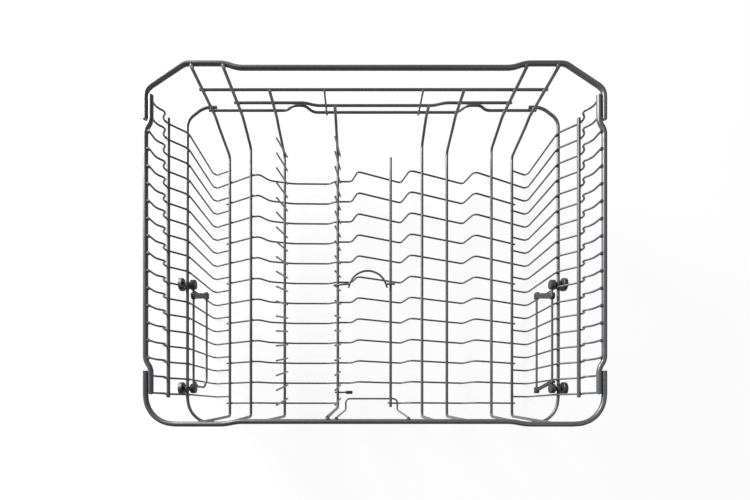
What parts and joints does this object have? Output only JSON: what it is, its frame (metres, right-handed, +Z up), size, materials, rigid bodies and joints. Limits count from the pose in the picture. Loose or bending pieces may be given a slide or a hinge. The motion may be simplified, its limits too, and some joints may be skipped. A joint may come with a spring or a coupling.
{
  "type": "dishwasher basket",
  "caption": "Upper dishwasher basket of coated wire with a waved floor, upright tines, a round-cornered rim, side rails and folding cup shelves.",
  "frame": {"origin": "middle of the basket's outline, on the surface that the basket stands on", "axes": "+X to the right, +Y to the back of the machine, +Z up"},
  "size_m": [0.5334, 0.4208, 0.1754],
  "materials": {
    "coated_wire": "satin coating over steel wire",
    "black_plastic": "moulded, matte"
  },
  "bodies": {
    "frame": {"back_rail_bottom": "coated_wire", "back_rail_middle": "coated_wire", "back_rail_top": "coated_wire", "back_struts": "coated_wire", "clip_left_back": "black_plastic", "clip_left_front": "black_plastic", "clip_right_back": "black_plastic", "clip_right_front": "black_plastic", "cross_wire_1": "coated_wire", "cross_wire_2": "coated_wire", "cross_wire_3": "coated_wire", "cross_wire_4": "coated_wire", "cross_wire_5": "coated_wire", "cross_wire_6": "coated_wire", "floor_wires": "coated_wire", "front_notch": "coated_wire", "latch_cap": "black_plastic", "latch_peg": "coated_wire", "long_wire_left_inner": "coated_wire", "long_wire_left_outer": "coated_wire", "long_wire_middle": "coated_wire", "long_wire_right_first": "coated_wire", "long_wire_right_inner": "coated_wire", "long_wire_right_outer": "coated_wire", "long_wire_right_second": "coated_wire", "long_wire_tine_left": "coated_wire", "long_wire_tine_right": "coated_wire", "lower_rail_left": "coated_wire", "lower_rail_right": "coated_wire", "rim_back": "coated_wire", "rim_front": "coated_wire", "rim_side_left": "coated_wire", "rim_side_right": "coated_wire", "ring_tab_left": "coated_wire", "ring_tab_right": "coated_wire", "side_wires_left": "coated_wire", "side_wires_right": "coated_wire", "spray_ring": "coated_wire", "tine_row_left": "coated_wire", "tine_row_right": "coated_wire", "upper_rail_left": "coated_wire", "upper_rail_right": "coated_wire"},
    "shelf_left": {"shelf_arm_left_back": "black_plastic", "shelf_rod_left": "coated_wire", "shelf_wire_left": "coated_wire"},
    "shelf_right": {"shelf_arm_right_back": "black_plastic", "shelf_arm_right_front": "black_plastic", "shelf_rod_right": "coated_wire", "shelf_wire_right": "coated_wire"}
  },
  "joints": [
    {"name": "shelf_left_fold", "type": "hinge", "parent": "frame", "child": "shelf_left", "pos_m": [-0.2353, -0.0955, 0.0994], "axis": [0, -1, 0], "range_deg": [0, 90]},
    {"name": "shelf_right_fold", "type": "hinge", "parent": "frame", "child": "shelf_right", "pos_m": [0.2353, -0.0955, 0.0994], "axis": [0, 1, 0], "range_deg": [0, 90]}
  ]
}
